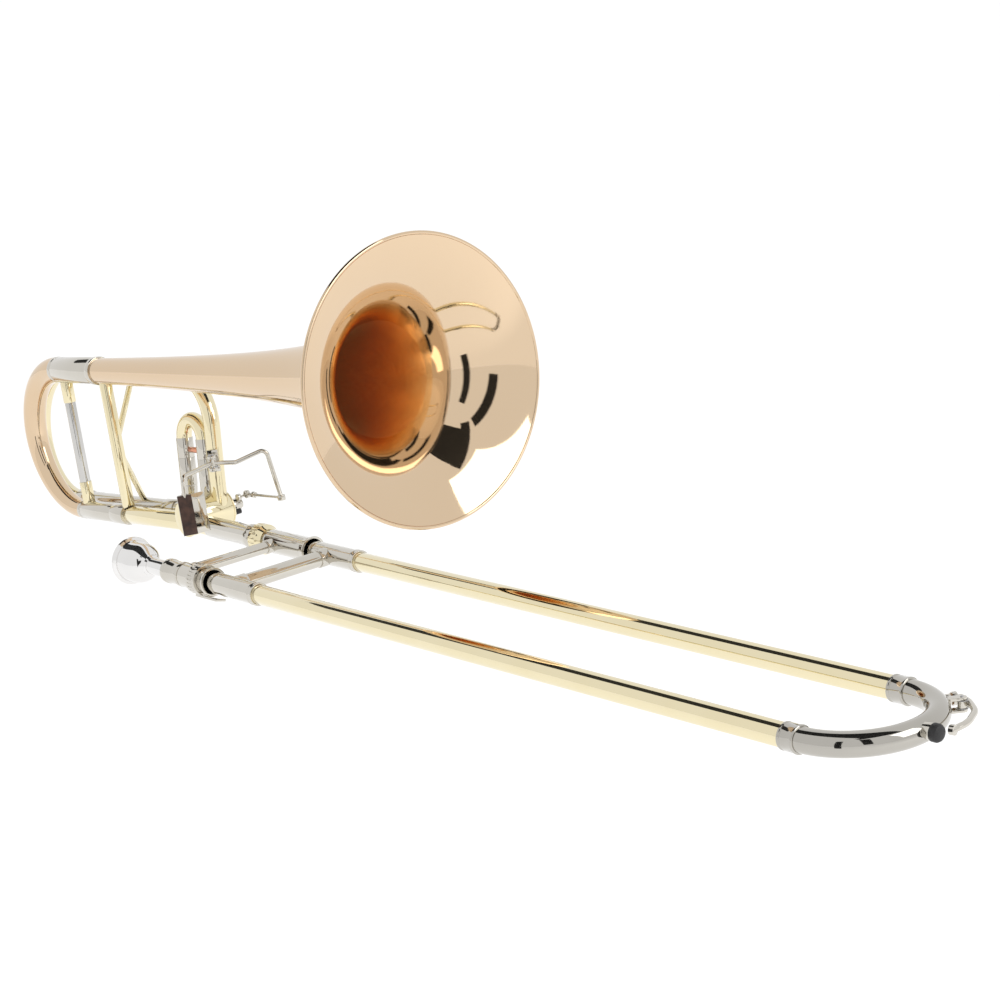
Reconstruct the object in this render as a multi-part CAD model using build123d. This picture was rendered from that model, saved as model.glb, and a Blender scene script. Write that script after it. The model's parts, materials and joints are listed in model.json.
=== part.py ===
# Tenor trombone in B flat and F: hand slide, bell section, F attachment with one rotary valve.
# Millimetres. +X runs along the slide towards its bow, +Z from the slide up to the bell,
# +Y to the player's left. The origin is on the axis of the slide leg that carries the bell,
# at the plane where the bell lock nut bears on that leg's shoulder.
import os
from math import asin, atan2, cos, degrees, radians, sin, sqrt, tan

from build123d import *

os.makedirs("parts", exist_ok=True)

# ---- driving dimensions: hand slide
leg_spacing = 97.0  # between the axes of the two slide legs
inner_od = 14.24  # inner slide tube
inner_wall = 0.5
outer_wall = 0.55
slide_play = 0.08  # radial, outer tube over inner tube
inner_end_x = 664.0  # open ends of the inner tubes
bow_x = 691.5  # where the bow leaves the straight
slide_travel = 585.0  # closed to seventh position
sleeve_wall = 0.95  # nickel sleeve on each outer tube
sleeve_end_x = 130.0
outer_start_x = 40.0
outer_brace_x = 91.0
outer_brace_r = 6.4
inner_brace_x = 19.0
inner_brace_r = 4.8
ferrule_length = 12.0
ferrule_wall = 1.15
bow_r = 8.0  # outside radius of the bow's tube
bow_wall = 0.8

# cork barrels: the cups that the outer slide closes into
barrel_r = 9.95
barrel_flare_r = 11.7
barrel_end_x = 66.0
barrel_flare_length = 8.0
barrel_wall = 0.8
barrel_back_x = 27.0
barrel_floor = 4.0
cork_length = 8.4

# ---- driving dimensions: mouthpiece and its receiver
receiver_mouth_x = 2.0
receiver_ring_r = 10.0
shank_mouth_r = 6.45
shank_taper = 0.025  # fall of radius per millimetre
shank_depth = 19.0
shank_play = 0.03
mouthpiece_rim_x = -57.0
mouthpiece_rim_r = 19.9
mouthpiece_bowl_r = 17.0
mouthpiece_shank_r = 6.9
mouthpiece_cup_r = 12.9
mouthpiece_cup_depth = 24.0
mouthpiece_throat_r = 3.3
leadpipe_length = 190.0
leadpipe_wall = 0.5

# ---- driving dimensions: bell lock
lock_nut_r = 12.6
lock_nut_length = 17.0
lock_nut_front_x = 4.0
thread_r = 10.1
thread_front_x = -4.0
receiver_r = 9.0
receiver_back_x = -84.0
cone_big_r = 8.15
cone_small_r = 7.6
cone_back_x = -58.0
lock_play = 0.08

# ---- driving dimensions: bell section, laid out in its own tilted frame
kink_x = -115.0  # the bell section's lower leg meets the slide's axis here
bell_tilt = 3.82  # degrees that the bell section rises from the slide's line
rim_x = 366.5
rim_r = 108.7
bell_length = 479.5
flare_offset = 25.7  # Bessel horn: radius falls as (distance + offset) ** -power
flare_power = 0.755
bell_wall = 0.9
bead_r = 1.5
flare_length = 95.0  # from the rim to where the flare is joined to the stem
main_spacing = 131.6  # bell axis above the lower leg's axis
upper_sleeve_r = 12.0
upper_sleeve_wall = 0.85
lower_sleeve_r = 8.8
lower_sleeve_wall = 0.85
tuning_play = 0.08
tuning_leg_wall = 0.5
seam_x = -181.0  # tuning slide's ferrules close on the sleeves here
crook_x = -186.0
crook_small_r = 8.5
crook_large_r = 11.7
crook_wall = 0.9
tuning_leg_reach = 60.0
tuning_travel = 52.0
lower_sleeve_front_x = -105.5
main_bore_r = 7.3
main_tube_r = 8.3
rear_brace_x = -175.4
rear_brace_r = 4.9
front_brace_x = -104.5
front_brace_r = 5.6
socket_length = 18.0
socket_wall = 0.65

# ---- driving dimensions: rotary valve
valve_x = 6.0
valve_z = 5.0
rotor_r = 14.0
rotor_play = 0.06
casing_wall = 1.4
casing_near_y = -8.5
casing_far_y = 31.1
cap_thickness = 1.5
cap_lip = 0.35
stem_r = 3.0
stem_play = 0.05
stop_hub_r = 5.6
stop_hub_y = 36.5
stop_hub_length = 9.0
arm_radius = 8.0
rotor_throw = 70.0  # degrees, set by the two bumpers
bumper_r = 2.4
bumper_circle_r = 9.6

# ---- driving dimensions: F attachment
f_plane_y = 22.0
f_lean = 5.0  # degrees that the F tubes lean over to the player's left
f_od_r = 7.1
f_wall = 0.5
f_port_half = 7.6  # half the spacing of the two F ports
f_bend_r = 44.0
f_lower_z = 3.0
f_upper_z = 123.0
f_crook_x = -229.0
f_slide_spacing = 32.0
f_foot_r = 22.0
f_slide_seam_z = 50.0
f_slide_crown_z = 67.7
f_sleeve_wall = 0.75
f_slide_travel = 16.0
f_leg_gap = 1.5

# ---- driving dimensions: thumb lever and link
lever_x = 29.0
lever_y = 13.0
lever_z = 50.5
lever_throw = 13.0  # degrees
lever_wire_r = 1.9
hub_r = 3.6
hub_length = 8.0
hinge_pin_r = 1.2
hinge_play = 0.04
link_end_x = 64.5
link_y = 53.0
link_z = 12.2
link_r = 1.3
paddle_height = 34.0
paddle_thickness = 1.5
pad_thickness = 1.7

# ---- driving dimensions: bumper and water key on the bow
bumper_tip_r = 5.7
bumper_tip_length = 7.0
key_angle = 60.0  # degrees round the bow from its apex to the drain hole
key_hinge_angle = 50.0
key_touch_angle = 10.5
key_lever_r = 2.1
key_hub_r = 3.0
key_pin_r = 0.9


# ---- shapes along the X axis
def tube(r_out, r_in, x0, x1):
    length = x1 - x0
    return Pos((x0 + x1) / 2, 0, 0) * Rot(0, 90, 0) * (Cylinder(r_out, length) - Cylinder(r_in, length))


def rod(r, x0, x1):
    return Pos((x0 + x1) / 2, 0, 0) * Rot(0, 90, 0) * Cylinder(r, x1 - x0)


def turned(points):
    """Solid of revolution about X from a closed outline of (x, radius) points."""
    return revolve(make_face(Polyline(*points, close=True)), Axis.X)


def bar(a, b, r):
    """Round bar from point a to point b."""
    start = Vector(*a)
    run = Vector(*b) - start
    return extrude(Plane(start, z_dir=run) * Circle(r), run.length)


def bent(points, bend, r_out, r_in=0):
    """Tube, or wire when r_in is 0, along straight runs joined by tangent arcs."""
    path = FilletPolyline(*points, radius=bend)
    section = Plane(path @ 0, z_dir=path % 0) * Circle(r_out)
    body = sweep(section, path=path)
    if r_in:
        bore = Plane(path @ 0, z_dir=path % 0) * Circle(r_in)
        body -= sweep(bore, path=path)
    return body


def save(name, shape):
    export_step(shape, f"parts/{name}.step")


near = Pos(0, -leg_spacing, 0)
section = Pos(kink_x, 0, 0) * Rot(0, -bell_tilt, 0)

inner_r = inner_od / 2
inner_bore_r = inner_r - inner_wall
outer_bore_r = inner_r + slide_play
outer_r = outer_bore_r + outer_wall
sleeve_r = outer_r + sleeve_wall


# ---- inner slide
save("inner_tube_bell_side", tube(inner_r, inner_bore_r, cone_back_x, inner_end_x))
near_tube_x = receiver_mouth_x + shank_depth + 1.0
save("inner_tube_mouthpiece_side", near * tube(inner_r, inner_bore_r, near_tube_x, inner_end_x))


def cork_barrel(x0):
    flare_x = barrel_end_x - barrel_flare_length
    floor_x = barrel_back_x + barrel_floor
    return turned([
        (x0, inner_r), (x0, barrel_r - 1), (x0 + 1, barrel_r), (flare_x, barrel_r),
        (barrel_end_x, barrel_flare_r), (barrel_end_x, barrel_r - barrel_wall + 0.6),
        (flare_x, barrel_r - barrel_wall), (floor_x, barrel_r - barrel_wall), (floor_x, inner_r),
    ])


shoulder_x = lock_nut_front_x + 4.0
receiver_end_x = receiver_mouth_x + shank_depth + 6.0
brace_bar = bar((inner_brace_x, 0, 0), (inner_brace_x, -leg_spacing, 0), inner_brace_r)
barrel_far = cork_barrel(shoulder_x)
barrel_near = near * cork_barrel(receiver_end_x)
save("cork_barrels", barrel_far + barrel_near)

cork_x = barrel_back_x + barrel_floor
cork = tube(barrel_r - barrel_wall - 0.1, inner_r + 0.1, cork_x, cork_x + cork_length)
save("barrel_corks", cork + near * cork)

inner_core_far = rod(barrel_r, shoulder_x, barrel_end_x)
inner_core_near = near * rod(receiver_ring_r, receiver_mouth_x, receiver_end_x)
brace_wall = 0.8
inner_brace = brace_bar - inner_core_far - inner_core_near
inner_brace -= bar((inner_brace_x, 0, 0), (inner_brace_x, -leg_spacing, 0), inner_brace_r - brace_wall)
brace_cuff = 5.0  # length of the collar at each end of a slide brace
cuff_wall = 0.9


def cuffed(brace_r, cuff_r, x, leg_far_r, leg_near_r):
    """The two collars that a slide brace sits in, saddled onto its legs."""
    far_cuff = bar((x, 0, 0), (x, -leg_far_r - brace_cuff, 0), cuff_r)
    near_cuff = bar((x, -leg_spacing, 0), (x, -leg_spacing + leg_near_r + brace_cuff, 0), cuff_r)
    far_leg = rod(leg_far_r, x - 30, x + 30)
    near_leg = near * rod(leg_near_r, x - 30, x + 30)
    core = bar((x, 0, 0), (x, -leg_spacing, 0), brace_r)
    return (far_cuff - far_leg - core) + (near_cuff - near_leg - core)


inner_cuffs = cuffed(inner_brace_r, inner_brace_r + cuff_wall, inner_brace_x, barrel_r, receiver_ring_r)
save("inner_brace", Compound(children=[inner_brace, inner_cuffs]))

# mouthpiece receiver: outside turned, inside tapered for the shank, then seated on the inner tube
shank_end_x = receiver_mouth_x + shank_depth
shank_end_r = shank_mouth_r - shank_taper * shank_depth
receiver = near * turned([
    (receiver_mouth_x, shank_mouth_r), (receiver_mouth_x, receiver_ring_r - 0.6),
    (receiver_mouth_x + 0.6, receiver_ring_r), (receiver_mouth_x + 4, receiver_ring_r),
    (receiver_mouth_x + 4.6, receiver_ring_r - 0.5), (receiver_end_x - 5.2, receiver_ring_r - 0.5),
    (receiver_end_x - 4.6, receiver_ring_r), (receiver_end_x, receiver_ring_r),
    (receiver_end_x, inner_r), (near_tube_x, inner_r), (near_tube_x, shank_end_r),
    (shank_end_x, shank_end_r),
])
save("mouthpiece_receiver", receiver)
leadpipe_r = inner_bore_r - 0.02
save("leadpipe", near * turned([
    (near_tube_x, leadpipe_r - 1.2), (near_tube_x, leadpipe_r), (near_tube_x + leadpipe_length, leadpipe_r),
    (near_tube_x + leadpipe_length, leadpipe_r - leadpipe_wall),
]))

# bell connector: male cone with a shoulder that the lock nut draws back
flange_r = thread_r - 0.6
save("bell_connector", turned([
    (cone_back_x, inner_r), (cone_back_x, cone_small_r), (thread_front_x + 0.4, cone_big_r),
    (thread_front_x + 0.4, flange_r), (thread_front_x + 3.0, flange_r), (thread_front_x + 3.0, cone_big_r),
    (shoulder_x, cone_big_r), (shoulder_x, inner_r),
]))

# ---- bell lock nut: bored to clear the thread, with an inner shoulder in front of the flange
nut_back_x = lock_nut_front_x - lock_nut_length
nut_lip_x = thread_front_x + 3.0 + lock_play
nut = turned([
    (nut_back_x, thread_r + lock_play), (nut_back_x, lock_nut_r - 1.6), (nut_back_x + 2.5, lock_nut_r),
    (lock_nut_front_x - 5, lock_nut_r), (lock_nut_front_x - 3.4, lock_nut_r - 1.4),
    (lock_nut_front_x, cone_big_r + 1.6), (lock_nut_front_x, cone_big_r + lock_play),
    (nut_lip_x, cone_big_r + lock_play), (nut_lip_x, thread_r + lock_play),
])
nut_flutes = 20
for i in range(nut_flutes):
    flute = Rot(360 / nut_flutes * i, 0, 0) * Pos(0, lock_nut_r + 0.35, 0) * rod(0.8, nut_back_x + 3, -2)
    nut -= flute
save("bell_lock_nut", nut)

# ---- slide lock ring on the mouthpiece-side barrel, with a hooked tongue for the catch pin
lock_ring_x0 = 44.0
lock_ring_x1 = 56.0
lock_ring_r = 12.4
tongue_z = barrel_flare_r + 0.5
tongue_width = 5.0
catch_pin_x = 70.0
catch_pin_r = 1.3
lock_rest = 165.0  # degrees from the top of the tube, where the tongue rests
lock_turn = 24.0
lock_ring = tube(lock_ring_r, barrel_r + 0.1, lock_ring_x0, lock_ring_x1)
for i in range(24):
    lock_ring -= Rot(15 * i, 0, 0) * Pos(0, lock_ring_r + 0.3, 0) * rod(0.7, lock_ring_x0 + 3, lock_ring_x1 - 3)
tongue_length = catch_pin_x + catch_pin_r + 3.5 - lock_ring_x0 - 2
tongue = Pos(lock_ring_x0 + 2 + tongue_length / 2, 0, tongue_z + 0.9) * Box(tongue_length, tongue_width, 1.8)
hook = Pos(catch_pin_x + catch_pin_r + 1.9, -2.4, tongue_z + 0.9) * Box(3.2, 9.0, 1.8)
tongue_root = Pos(lock_ring_x0 + 6, 0, lock_ring_r) * Box(8.0, tongue_width, 2.2)
lock_ring = near * Rot(lock_rest, 0, 0) * (lock_ring + tongue + hook + tongue_root)
save("slide_lock_ring", lock_ring)

# ---- outer slide
outer_tube = tube(outer_r, outer_bore_r, outer_start_x, bow_x)
save("outer_tube_bell_side", outer_tube)
save("outer_tube_mouthpiece_side", near * outer_tube)
sleeve = tube(sleeve_r, outer_r, outer_start_x + 2, sleeve_end_x)
catch_angle = lock_rest + lock_turn + degrees(asin((tongue_width / 2 + catch_pin_r + 0.3) / tongue_z))
catch_pin = Rot(catch_angle, 0, 0) * bar((catch_pin_x, 0, sleeve_r), (catch_pin_x, 0, tongue_z + 2.0), catch_pin_r)
catch_core = rod(sleeve_r, catch_pin_x - 5, catch_pin_x + 5)
save("outer_sleeves", sleeve + near * sleeve)
save("slide_lock_pin", near * (catch_pin - catch_core))

outer_core = rod(sleeve_r, outer_start_x, sleeve_end_x)
outer_bar = bar((outer_brace_x, 0, 0), (outer_brace_x, -leg_spacing, 0), outer_brace_r)
outer_brace = outer_bar - outer_core - near * outer_core
outer_brace -= bar((outer_brace_x, 0, 0), (outer_brace_x, -leg_spacing, 0), outer_brace_r - brace_wall)
outer_cuffs = cuffed(outer_brace_r, outer_brace_r + cuff_wall, outer_brace_x, sleeve_r, sleeve_r)
save("outer_brace", Compound(children=[outer_brace, outer_cuffs]))

ferrule_x = bow_x - ferrule_length
ferrule = turned([
    (ferrule_x, outer_r), (ferrule_x, outer_r + ferrule_wall - 0.3), (ferrule_x + 0.8, outer_r + ferrule_wall),
    (bow_x, outer_r + ferrule_wall), (bow_x, outer_r),
])
save("bow_ferrules", ferrule + near * ferrule)

# slide bow: half a torus between the legs
bow_major = leg_spacing / 2
bow_axis = Axis((bow_x, -bow_major, 0), (0, 0, 1))
bow_section = Plane((bow_x, 0, 0), x_dir=(0, 1, 0), z_dir=(1, 0, 0)) * Circle(bow_r)
bow_bore = Plane((bow_x, 0, 0), x_dir=(0, 1, 0), z_dir=(1, 0, 0)) * Circle(bow_r - bow_wall)
bow_solid = revolve(bow_section, bow_axis, -180)
bow = bow_solid - revolve(bow_bore, bow_axis, -180)


def on_bow(angle, reach, z=0.0):
    """Point at an angle round the bow from its apex, at a distance from the bow's centre."""
    a = radians(angle)
    return (bow_x + reach * cos(a), -bow_major + reach * sin(a), z)


drain_r = 2.0
drain = bar(on_bow(key_angle, bow_major), on_bow(key_angle, bow_major + bow_r + 2), drain_r)
save("slide_bow", bow - drain)

# bumper: a nickel cup on the bow's apex holding a rubber tip
cup_back = bow_major + bow_r - 2.5
cup_front = bow_major + bow_r + 3.5
bumper_z = 1.5
bumper_place = Pos(bow_x, -bow_major, bumper_z)
cup = bumper_place * rod(bumper_tip_r - 0.4, cup_back, cup_front) - bow_solid
cup -= bumper_place * rod(bumper_tip_r - 2.2, cup_front - 1.6, cup_front)
save("bumper_cup", cup)
tip_end = cup_front + bumper_tip_length - 1.6
save("bumper_tip", bumper_place * turned([
    (cup_front - 1.6, 0), (cup_front - 1.6, bumper_tip_r - 2.2), (cup_front, bumper_tip_r - 2.2),
    (cup_front, bumper_tip_r), (tip_end - 2.2, bumper_tip_r), (tip_end - 0.8, bumper_tip_r - 0.8),
    (tip_end, bumper_tip_r - 2.6), (tip_end, 0),
]))

# water key: nipple over the drain hole, a saddle, and a curved lever that follows the bow
nipple_top = bow_major + bow_r + 2.6
nipple_r = 3.4
nipple = bar(on_bow(key_angle, bow_major), on_bow(key_angle, nipple_top), nipple_r) - bow_solid
nipple -= bar(on_bow(key_angle, bow_major), on_bow(key_angle, nipple_top), drain_r)

pin_reach = bow_major + bow_r + 7.0
pin_at = on_bow(key_hinge_angle, pin_reach)
post_half = 4.6
post_thickness = 1.6
posts = Part()
for side in (-1, 1):
    z = side * (post_half - post_thickness / 2)
    low = on_bow(key_hinge_angle, bow_major + 2, z)
    high = on_bow(key_hinge_angle, pin_reach, z)
    plate_place = Plane(low, x_dir=(0, 0, 1), z_dir=Vector(*high) - Vector(*low))
    reach = pin_reach - bow_major - 2
    plate = plate_place * Pos(0, 0, reach / 2) * Box(post_thickness, 6.0, reach)
    eye = Pos(*pin_at) * Pos(0, 0, z) * Cylinder(3.0, post_thickness)
    posts += (plate + eye) - bow_solid
key_pin = Pos(*pin_at) * Cylinder(key_pin_r, 2 * post_half + 1.0)
save("water_key_seat", Compound(children=[posts - key_pin, nipple]))
save("water_key_pin", key_pin)

key_cup_back = nipple_top + 1.4
key_cup_top = key_cup_back + 2.6
key_cup = bar(on_bow(key_angle, key_cup_back - 0.4), on_bow(key_angle, key_cup_top), nipple_r + 0.9)
key_cork = bar(on_bow(key_angle, nipple_top + 0.1), on_bow(key_angle, key_cup_back + 0.9), nipple_r)
key_hub = Pos(*pin_at) * Cylinder(key_hub_r, 2 * (post_half - post_thickness) - 0.4)
key_elbow = on_bow(key_angle, bow_major + 17.5)
key_neck = bar(on_bow(key_angle, key_cup_top - 0.8), key_elbow, key_lever_r) + Pos(*key_elbow) * Sphere(key_lever_r)
key_arm = bent(
    [key_elbow, on_bow(52, bow_major + 19.7), on_bow(38, bow_major + 21.8), on_bow(22, bow_major + 20.5),
     on_bow(key_touch_angle - 1.5, bow_major + 16.5)], 25.0, key_lever_r,
)
touch_reach = bow_major + 16.8
touch_pad = bar(
    on_bow(key_touch_angle, touch_reach - 1.7), on_bow(key_touch_angle, touch_reach + 1.5), key_lever_r + 1.1
)
key = key_cup + key_neck + key_arm + key_hub + touch_pad - key_cork
key -= Pos(*pin_at) * Cylinder(key_pin_r + hinge_play, 2 * post_half)
save("water_key_lever", key)
save("water_key_cork", key_cork)


def coil(wire, radius, pitch, turns):
    """Close-wound torsion spring about Z, its middle at z = 0."""
    path = Pos(0, 0, -pitch * turns / 2) * Helix(pitch, pitch * turns, radius)
    return sweep(Plane(path @ 0, z_dir=path % 0) * Circle(wire), path=path)


key_coil_z = post_half - post_thickness - 0.55
key_coils = []
for side in (-1, 1):
    key_coils.append(Pos(*pin_at) * Pos(0, 0, side * key_coil_z) * coil(0.2, key_hub_r + 0.5, 0.45, 1.2))
save("water_key_spring", Compound(children=key_coils))

# ---- mouthpiece: rim, bowl, tapered shank
rim_x0 = mouthpiece_rim_x
shank_tip_x = shank_end_x - 1.0
tip_r = shank_mouth_r - shank_taper * (shank_tip_x - receiver_mouth_x) - shank_play
mouth_r = shank_mouth_r - shank_play
with BuildSketch() as mouthpiece_outline:
    with BuildLine():
        rim_top = (rim_x0 + 2.6, mouthpiece_rim_r)
        Polyline((rim_x0 + 1.4, mouthpiece_cup_r), (rim_x0, mouthpiece_cup_r + 2.6))
        ThreePointArc((rim_x0, mouthpiece_cup_r + 2.6), (rim_x0 + 0.7, mouthpiece_rim_r - 0.8), rim_top)
        Polyline(rim_top, (rim_x0 + 3.8, mouthpiece_rim_r - 0.5), (rim_x0 + 4.8, mouthpiece_bowl_r + 0.4))
        Spline(
            (rim_x0 + 4.8, mouthpiece_bowl_r + 0.4), (rim_x0 + 12, mouthpiece_bowl_r - 0.1),
            (rim_x0 + 19, mouthpiece_bowl_r - 1.0), (rim_x0 + 25, 12.6), (rim_x0 + 29, 8.5),
        )
        Polyline(
            (rim_x0 + 29, 8.5), (rim_x0 + 32, 8.5), (rim_x0 + 33.2, mouthpiece_shank_r),
            (receiver_mouth_x - 8, mouthpiece_shank_r),
            (receiver_mouth_x - 2, mouth_r), (receiver_mouth_x, mouth_r), (shank_tip_x, tip_r),
            (shank_tip_x, tip_r - 0.8), (rim_x0 + 38, mouthpiece_throat_r),
            (rim_x0 + mouthpiece_cup_depth + 3, mouthpiece_throat_r),
        )
        Spline(
            (rim_x0 + mouthpiece_cup_depth + 3, mouthpiece_throat_r),
            (rim_x0 + mouthpiece_cup_depth - 5, 8.4), (rim_x0 + 9, 11.9),
            (rim_x0 + 1.4, mouthpiece_cup_r),
        )
    make_face()
save("mouthpiece", near * revolve(mouthpiece_outline.sketch, Axis.X))

# ---- slide receiver and neckpipe of the bell section (on the slide's own line)
neck_front_x = -62.0
female_small = cone_small_r + 0.05
female_big = cone_big_r + 0.05
save("slide_receiver", turned([
    (receiver_back_x, main_tube_r), (receiver_back_x, receiver_r - 0.4), (receiver_back_x + 1, receiver_r),
    (thread_front_x - 18, receiver_r), (thread_front_x - 18, thread_r + 0.4), (thread_front_x - 12, thread_r + 0.4),
    (thread_front_x - 11, thread_r), (thread_front_x, thread_r), (thread_front_x, female_big),
    (cone_back_x - 1, female_small), (neck_front_x, female_small), (neck_front_x, main_tube_r),
]))

valve_place = section * Pos(valve_x, 0, valve_z)
casing_r = rotor_r + rotor_play + casing_wall


def drum(r, y0, y1):
    """Cylinder about the valve's axis, which runs along Y."""
    return valve_place * Pos(0, (y0 + y1) / 2, 0) * Rot(90, 0, 0) * Cylinder(r, y1 - y0)


casing_block = drum(casing_r, casing_near_y, casing_far_y)
neck_back_x = kink_x
save("neckpipe", tube(main_tube_r, main_bore_r, neck_back_x, neck_front_x) - casing_block)

# ---- rotary valve
f_front_x = valve_x + f_port_half
f_rear_x = valve_x - f_port_half
f_bore_r = f_od_r - f_wall
casing = casing_block - drum(rotor_r + rotor_play, casing_near_y, casing_far_y)
casing -= rod(main_bore_r, neck_back_x + 4, neck_front_x)
casing -= section * rod(main_bore_r, -40, valve_x - 4)
f_lean_place = Pos(0, f_plane_y, f_lower_z) * Rot(-f_lean, 0, 0) * Pos(0, -f_plane_y, -f_lower_z)
f_frame = section * f_lean_place
for x in (f_front_x, f_rear_x):
    casing -= f_frame * bar((x, f_plane_y, valve_z), (x, f_plane_y, 40), f_bore_r)
save("valve_casing", casing)


def cap(y0, y1, hole):
    return drum(casing_r + cap_lip, y0, y1) - drum(hole, y0, y1)


near_cap_y = casing_near_y - cap_thickness
far_cap_y = casing_far_y + cap_thickness
near_cap = cap(near_cap_y, casing_near_y, stem_r + stem_play)
far_cap = cap(casing_far_y, far_cap_y, stem_r + stem_play)
save("valve_caps", Compound(children=[near_cap, far_cap]))

rotor = drum(rotor_r, casing_near_y + 0.15, casing_far_y - 0.15)
rotor += drum(stem_r, near_cap_y + 0.3, casing_near_y + 0.15)
rotor += drum(stem_r, casing_far_y - 0.15, stop_hub_y + stop_hub_length + 1)
rotor -= section * rod(main_bore_r - 0.5, -30, 45)
pocket_z = valve_z + 4.0
passage_r = f_bore_r - 1.0
passage_low_z = pocket_z - f_port_half
passage = bent(
    [(f_rear_x, f_plane_y, 40), (f_rear_x, f_plane_y, passage_low_z), (f_front_x, f_plane_y, passage_low_z),
     (f_front_x, f_plane_y, 40)], f_port_half - 0.05, passage_r,
)
rotor -= section * passage
save("rotor", rotor)

# stop arm: hub on the stem, an arm with the link pin, and a stop lug that meets the bumpers
half_throw = rotor_throw / 2


def about_valve(angle, reach, y):
    """Point about the valve's axis; angle 0 is up and grows towards the bow."""
    a = radians(angle)
    return (valve_x + reach * sin(a), y, valve_z + reach * cos(a))


hub_end_y = stop_hub_y + stop_hub_length
arm_y = hub_end_y - 1.5
pin_end_y = link_y + 2.6
arm_pin = section * bar(about_valve(half_throw, arm_radius, hub_end_y - 3), about_valve(half_throw, arm_radius, pin_end_y), 1.2)
hub = drum(stop_hub_r, stop_hub_y, hub_end_y)
hub += section * bar(about_valve(half_throw, arm_radius, hub_end_y - 3), about_valve(half_throw, arm_radius, hub_end_y), 3.0)
lug_y = stop_hub_y + 2.2
lug = section * bar(about_valve(half_throw + 180, 4, lug_y), about_valve(half_throw + 180, 12.4, lug_y), 1.9)
stem_hole = drum(stem_r, stop_hub_y, hub_end_y)
screw = drum(stem_r + 0.9, hub_end_y + 1, hub_end_y + 2.6)
screw -= section * Pos(valve_x, hub_end_y + 2.6, valve_z) * Box(7, 1.2, 0.8)
save("stop_arm", Compound(children=[hub + lug + arm_pin - stem_hole, screw]))

# stop plate on the far cap: a bar across the lower half with a rubber bumper at each end
lug_half_angle = degrees(asin(1.9 / bumper_circle_r)) + degrees(asin(bumper_r / bumper_circle_r))
stop_angle = half_throw + lug_half_angle + 1.0
plate_y0 = far_cap_y
plate_y1 = far_cap_y + 1.6
stop_plate = Part()
bumpers = Part()
for side in (-1, 1):
    a = 180 + side * stop_angle
    stop_plate += section * bar(about_valve(a, bumper_circle_r, plate_y0), about_valve(a, bumper_circle_r, plate_y1), 4.2)
    base_y = plate_y1
    bumpers += section * bar(about_valve(a, bumper_circle_r, base_y), about_valve(a, bumper_circle_r, lug_y + 2.4), bumper_r)
plate_ring = drum(bumper_circle_r + 2.5, plate_y0, plate_y1) - drum(stem_r + 1.2, plate_y0, plate_y1)
save("stop_plate", stop_plate + plate_ring)
save("stop_bumpers", bumpers)

# ---- link rod from the stop arm's pin to the end of the lever
eye_at = about_valve(half_throw, arm_radius, link_y)
link_end = (link_end_x, link_y, link_z)
eye_bore_r = 2.25
eye_r = 3.5
eye = Pos(eye_at[0], link_y, link_z) * Rot(90, 0, 0) * (Cylinder(eye_r, 3.0) - Cylinder(eye_bore_r, 3.0))
ball_r = 2.3
ball_play = 0.12
socket_r = 3.5
link_bar = bar((eye_at[0] + eye_r - 0.6, link_y, link_z), (link_end_x - socket_r + 0.5, link_y, link_z), link_r)
link_nut = Pos(eye_at[0] + 9, link_y, link_z) * Rot(0, 90, 0) * extrude(RegularPolygon(2.9, 6), 4.0)
link_nut -= bar((eye_at[0], link_y, link_z), (link_end_x, link_y, link_z), link_r)
link_socket = Pos(*link_end) * Cylinder(socket_r, 4.4) - Pos(*link_end) * Sphere(ball_r + ball_play)
link_socket -= Pos(*link_end) * Pos(0, 0, 3) * Cylinder(lever_wire_r + 0.45, 6.0)
link_rod = eye + link_bar + link_socket
save("link_rod", Compound(children=[section * link_rod, section * link_nut]))

# ---- thumb lever: hub on a vertical pin, one arm to the paddle, one over to the link's ball
hub_at = Pos(lever_x, lever_y, lever_z)
lever_hub = hub_at * Cylinder(hub_r, hub_length)
paddle_top = (54.4, -35.0, 31.0)
paddle_arm = bent([(lever_x, lever_y, lever_z), (57.0, -35.0, lever_z + 0.8), paddle_top], 5.0, lever_wire_r)
peak = (link_end_x + 0.5, 45.5, 57.0)
link_arm = bent(
    [(lever_x, lever_y, lever_z), (lever_x + 17.5, lever_y + 12.5, lever_z - 1.5), peak, link_end],
    [7.0, 5.0], lever_wire_r,
)
ball = Pos(*link_end) * Sphere(ball_r)
pin_hole = hub_at * Cylinder(hinge_pin_r + hinge_play, 40)
lever = (lever_hub + paddle_arm + link_arm + ball) - pin_hole

paddle_low_z = 1.5
paddle_a = (50.8, -40.0)
paddle_b = (56.6, -29.5)
paddle_c = (58.9, -18.5)


def paddle_wall(offset_in, offset_out, start, end):
    """Curved vertical plate between two offsets of the paddle's arc, cut to a stretch of it."""
    arc = ThreePointArc(paddle_a, paddle_b, paddle_c)
    outer = []
    inner = []
    steps = 6
    for i in range(steps + 1):
        t = start + (end - start) * i / steps
        point = arc @ t
        along = arc % t
        side = Vector(along.Y, -along.X)
        outer.append(point + side * offset_out)
        inner.append(point - side * offset_in)
    edges = [Spline(*outer), Line(outer[-1], inner[-1]), Spline(*reversed(inner)), Line(inner[0], outer[0])]
    return extrude(make_face(Wire(edges)), paddle_height)


paddle = Pos(0, 0, paddle_low_z) * paddle_wall(paddle_thickness / 2, paddle_thickness / 2, 0, 1)
lever -= paddle
pad = Pos(0, 0, paddle_low_z) * paddle_wall(
    paddle_thickness / 2 + pad_thickness, paddle_thickness / 2 + pad_thickness, 0.02, 0.5
)
pad -= paddle
pad -= Pos(0, 0, lever_z - 16) * Pos(paddle_top[0], paddle_top[1], 0) * Cylinder(lever_wire_r + 0.02, 30)
pad -= lever
save("thumb_lever", section * lever)
save("thumb_paddle", section * paddle)
save("thumb_pad", section * pad)

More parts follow.
